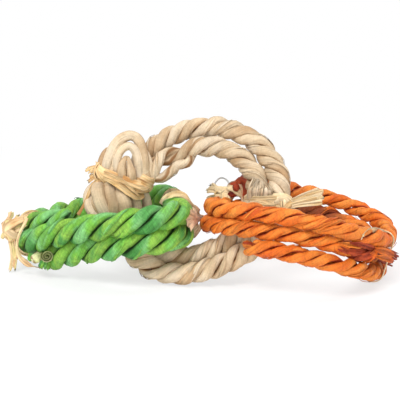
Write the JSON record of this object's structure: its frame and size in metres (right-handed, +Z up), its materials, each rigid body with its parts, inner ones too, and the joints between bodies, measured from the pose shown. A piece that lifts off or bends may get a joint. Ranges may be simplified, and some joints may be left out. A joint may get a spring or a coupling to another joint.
{
  "type": "corn husk chew ring toy",
  "caption": "Pet chew toy of linked rings, each a bound hank of twisted corn husk rope with knotted ties and frayed tails.",
  "frame": {"origin": "middle of the bounding box at the floor", "axes": "+Z up, +X along the row of rings from the green ring to the orange one, the pictured front faces -Y"},
  "size_m": [0.1858, 0.0916, 0.0701],
  "materials": {
    "natural_husk": "dry fibrous husk",
    "tan_tie": "dry fibrous husk",
    "pale_tie": "dry fibrous husk",
    "green_husk": "dyed husk, slight sheen",
    "lime_tie": "dyed husk",
    "pink_tie": "dry husk with a pink cast",
    "orange_husk": "dyed husk, slight sheen",
    "red_husk": "dyed husk, dark",
    "wire": "thin grey wire"
  },
  "bodies": {
    "natural_ring": {"natural_rope": "natural_husk", "natural_left_tie_band": "tan_tie", "natural_left_tie_knot": "tan_tie", "natural_left_tie_tail_upper": "tan_tie", "natural_left_tie_strip": "tan_tie", "natural_eye_outer": "natural_husk", "natural_eye_inner": "natural_husk", "natural_right_tie_band": "pale_tie", "natural_right_tie_knot": "pale_tie", "natural_right_tie_fan": "pale_tie", "natural_right_tie_tail_short": "pale_tie"},
    "green_ring": {"green_rope": "green_husk", "green_cut_end_pale": "pale_tie", "green_cut_end_rolled": "green_husk", "green_left_tie_band": "lime_tie", "green_left_tie_knot": "lime_tie", "green_left_tie_tail_up": "lime_tie", "green_left_tie_tail_down": "lime_tie", "green_left_tie_strap": "lime_tie", "green_right_tie_band": "pink_tie", "green_right_tie_cone": "pink_tie", "green_right_tie_strip": "pink_tie"},
    "orange_ring": {"orange_rope": "orange_husk", "orange_fray_upper": "red_husk", "orange_fray_lower": "red_husk", "orange_left_tie_band": "pink_tie", "orange_left_tie_knot": "pink_tie", "orange_left_tie_tail_upper": "pink_tie", "orange_left_tie_tail_lower": "pink_tie", "orange_loop_behind": "red_husk", "orange_right_tie_band": "pale_tie"},
    "wire_loop": {"wire_loop": "wire"}
  },
  "joints": [
    {"name": "green_link", "type": "hinge", "parent": "natural_ring", "child": "green_ring", "pos_m": [-0.03713, -0.00273, 0.02292], "axis": [0, 0, 1], "range_deg": [-10, 30]},
    {"name": "orange_link", "type": "hinge", "parent": "natural_ring", "child": "orange_ring", "pos_m": [0.02317, -0.01578, 0.02129], "axis": [0, 0, 1], "range_deg": [-30, 5]},
    {"name": "wire_swing", "type": "hinge", "parent": "orange_ring", "child": "wire_loop", "pos_m": [0.00905, 0.02165, 0.03655], "axis": [-0.8593, -0.1462, 0.4901], "range_deg": [-60, 60]}
  ]
}
